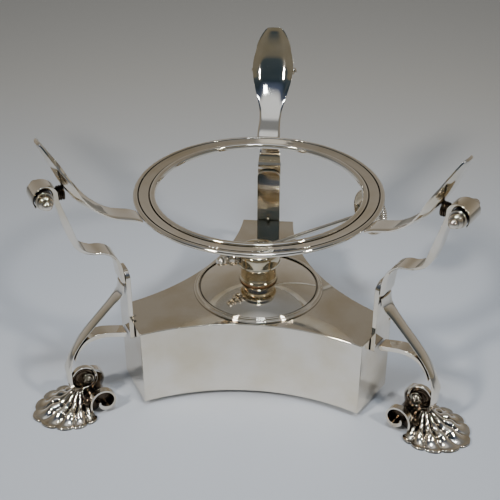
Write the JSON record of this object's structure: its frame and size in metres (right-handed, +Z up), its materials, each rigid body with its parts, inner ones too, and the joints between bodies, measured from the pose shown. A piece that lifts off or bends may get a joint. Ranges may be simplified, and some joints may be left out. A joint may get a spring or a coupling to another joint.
{
  "type": "spirit burner stand",
  "caption": "Silver kettle stand: a moulded ring on scroll legs with shell feet above a three-cornered spirit reservoir with a lift-out wick burner.",
  "frame": {"origin": "centre of the reservoir's flat underside, on the burner's upright axis; the table is 2.9 mm below it", "axes": "+Z up along the burner's axis, +Y towards the rear leg, +X to the right across the two front legs"},
  "size_m": [0.215, 0.192, 0.1472],
  "materials": {
    "polished_silver": "mirror polish, lightly worn",
    "darkened_silver": "polished on the high parts, dark in the recesses",
    "warm_gilt": "polished, warm tone",
    "burner_brass": "satin",
    "cork": "matt sealing washer",
    "cotton": "woven wick"
  },
  "bodies": {
    "stand": {"reservoir_wall": "polished_silver", "reservoir_top": "polished_silver", "reservoir_base": "polished_silver", "lamp_dish": "polished_silver", "reservoir_neck": "burner_brass", "support_ring": "polished_silver", "arm_rear": "polished_silver", "scroll_roll_rear": "darkened_silver", "lug_rear": "darkened_silver", "upper_leg_rear": "polished_silver", "leg_plate_rear": "polished_silver", "lock_pin_rear": "darkened_silver", "lower_leg_rear": "polished_silver", "leg_brace_rear": "polished_silver", "shell_foot_rear": "darkened_silver", "arm_left": "polished_silver", "scroll_roll_left": "darkened_silver", "lug_left": "darkened_silver", "upper_leg_left": "polished_silver", "leg_plate_left": "polished_silver", "lock_pin_left": "darkened_silver", "lower_leg_left": "polished_silver", "leg_brace_left": "polished_silver", "shell_foot_left": "darkened_silver", "arm_right": "polished_silver", "scroll_roll_right": "darkened_silver", "lug_right": "darkened_silver", "upper_leg_right": "polished_silver", "leg_plate_right": "polished_silver", "lock_pin_right": "darkened_silver", "lower_leg_right": "polished_silver", "leg_brace_right": "polished_silver", "shell_foot_right": "darkened_silver"},
    "burner": {"burner_washer": "cork", "burner_stem": "burner_brass", "burner_collar": "warm_gilt", "burner_bowl": "warm_gilt", "wick_tube": "burner_brass", "spindle_gland": "darkened_silver"},
    "winder": {"wick_spindle": "polished_silver", "wick_pinion": "burner_brass", "spindle_knob": "darkened_silver", "wick_wheel": "polished_silver"},
    "wick": {"wick": "cotton"}
  },
  "joints": [
    {"name": "burner_lift", "type": "slide", "parent": "stand", "child": "burner", "axis": [0, 0, 1], "range_m": [0, 0.025]},
    {"name": "winder_turn", "type": "hinge", "parent": "burner", "child": "winder", "pos_m": [-0.00247, 0.00321, 0.0611], "axis": [-0.7934, -0.6088, 0], "range_deg": [-100, 100]},
    {"name": "wick_rise", "type": "slide", "parent": "burner", "child": "wick", "axis": [0, 0, 1], "range_m": [-0.0055, 0.0055]}
  ],
  "couplings": [
    {"joint": "wick_rise", "follows": "winder_turn", "m_per_rad": 0.003}
  ]
}
